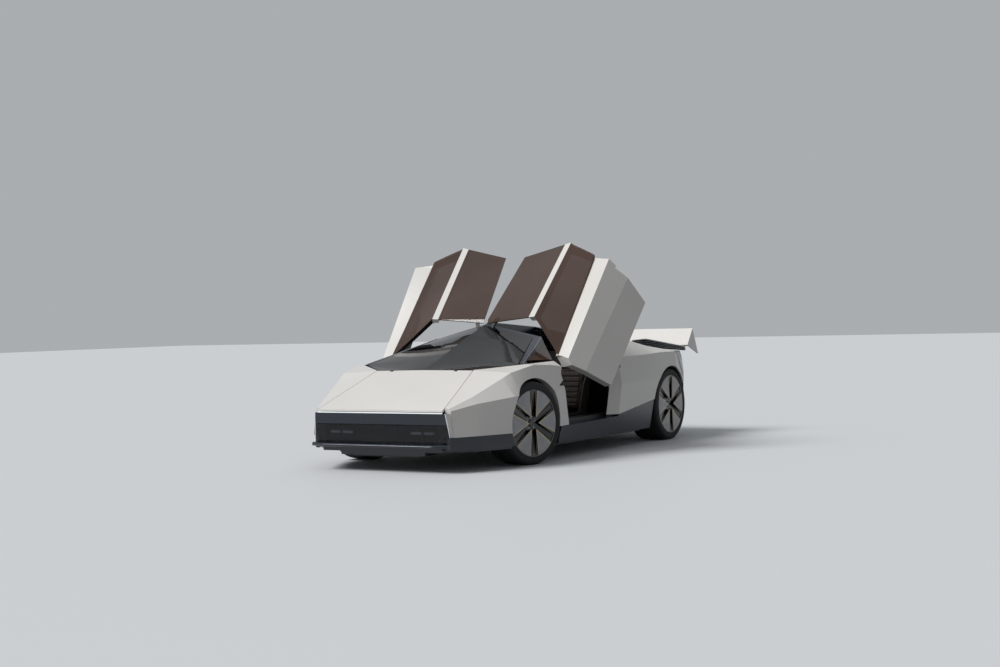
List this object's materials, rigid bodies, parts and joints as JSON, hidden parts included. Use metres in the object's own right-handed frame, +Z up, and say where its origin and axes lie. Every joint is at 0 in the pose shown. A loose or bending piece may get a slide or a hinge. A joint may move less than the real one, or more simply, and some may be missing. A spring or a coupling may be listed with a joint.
{
  "type": "supercar",
  "caption": "Low wedge-shaped two-seat electric supercar with faceted body, doors swung up with half the roof each, front lid, raised rear wing and steered front wheels.",
  "frame": {"origin": "on the ground at the middle of the car's length and width", "axes": "+X to the car's left, -Y towards the nose, +Z up"},
  "size_m": [2.5318, 4.6, 1.9203],
  "materials": {
    "paint": "satin off-white paint",
    "dark_gloss": "glossy blue-black",
    "black_plastic": "matt black",
    "light": "opal lens",
    "tail_light": "red lens",
    "carbon": "satin carbon composite",
    "casting": "cast",
    "tinted_glass": "brown tint",
    "screen_glass": "dark tint",
    "rim": "painted, black spokes and light grey plates",
    "tyre": "matt",
    "trim": "grained dark brown",
    "seat_fabric": "brown"
  },
  "bodies": {
    "root": {"battery_pack": "casting", "dashboard": "trim", "diffuser": "dark_gloss", "drive_unit": "casting", "front_fascia": "dark_gloss", "front_fender_left": "paint", "front_fender_right": "paint", "front_suspension": "casting", "grille": "black_plastic", "light_bar": "light", "luggage_tub": "black_plastic", "quarter_glass": "tinted_glass", "rear_bumper": "dark_gloss", "rear_deck": "dark_gloss", "rear_fender_left": "paint", "rear_fender_right": "paint", "rear_suspension": "casting", "rear_wing": "paint", "screen_frame": "dark_gloss", "seat_backs": "seat_fabric", "seat_cushions": "seat_fabric", "seat_shells": "trim", "side_skirts": "dark_gloss", "splitter": "dark_gloss", "steering_wheel": "trim", "tail_lamp": "tail_light", "tub": "carbon", "wheel_linings": "black_plastic", "windshield": "screen_glass"},
    "door_left": {"door_shell_left": "paint", "side_window_left": "tinted_glass", "cant_rail_left": "paint", "roof_glass_left": "tinted_glass", "door_posts_left": "black_plastic", "door_hinge_left": "casting"},
    "steer_left": {"knuckle_left": "casting"},
    "wheel_front_left": {"rim_front_left": "rim", "tyre_front_left": "tyre"},
    "wheel_rear_left": {"rim_rear_left": "rim", "tyre_rear_left": "tyre"},
    "door_right": {"door_shell_right": "paint", "side_window_right": "tinted_glass", "cant_rail_right": "paint", "roof_glass_right": "tinted_glass", "door_posts_right": "black_plastic", "door_hinge_right": "casting"},
    "steer_right": {"knuckle_right": "casting"},
    "wheel_front_right": {"rim_front_right": "rim", "tyre_front_right": "tyre"},
    "wheel_rear_right": {"rim_rear_right": "rim", "tyre_rear_right": "tyre"},
    "lid": {"front_lid": "paint"}
  },
  "joints": [
    {"name": "door_left_hinge", "type": "hinge", "parent": "root", "child": "door_left", "pos_m": [0, -0.512, 1.163], "axis": [0.9054, -0.3388, -0.256], "range_deg": [-53.5, 0]},
    {"name": "door_right_hinge", "type": "hinge", "parent": "root", "child": "door_right", "pos_m": [0, -0.512, 1.163], "axis": [0.9054, 0.3388, 0.256], "range_deg": [-53.5, 0]},
    {"name": "lid_hinge", "type": "hinge", "parent": "root", "child": "lid", "pos_m": [0, -1.552, 0.799], "axis": [-1, 0, 0], "range_deg": [0, 60]},
    {"name": "steer_left_kingpin", "type": "hinge", "parent": "root", "child": "steer_left", "pos_m": [0.76, -1.29, 0.35], "axis": [0, 0, 1], "range_deg": [-20, 44]},
    {"name": "steer_right_kingpin", "type": "hinge", "parent": "root", "child": "steer_right", "pos_m": [-0.76, -1.29, 0.35], "axis": [0, 0, 1], "range_deg": [-20, 44]},
    {"name": "front_left_spin", "type": "hinge", "parent": "steer_left", "child": "wheel_front_left", "pos_m": [0.76, -1.29, 0.35], "axis": [0.9781, -0.2079, 0], "continuous": true},
    {"name": "front_right_spin", "type": "hinge", "parent": "steer_right", "child": "wheel_front_right", "pos_m": [-0.76, -1.29, 0.35], "axis": [0.9781, -0.2079, 0], "continuous": true},
    {"name": "rear_left_spin", "type": "hinge", "parent": "root", "child": "wheel_rear_left", "pos_m": [0.8, 1.35, 0.35], "axis": [1, 0, 0], "continuous": true},
    {"name": "rear_right_spin", "type": "hinge", "parent": "root", "child": "wheel_rear_right", "pos_m": [-0.8, 1.35, 0.35], "axis": [1, 0, 0], "continuous": true}
  ],
  "couplings": [
    {"joint": "steer_right_kingpin", "follows": "steer_left_kingpin", "ratio": 1}
  ]
}
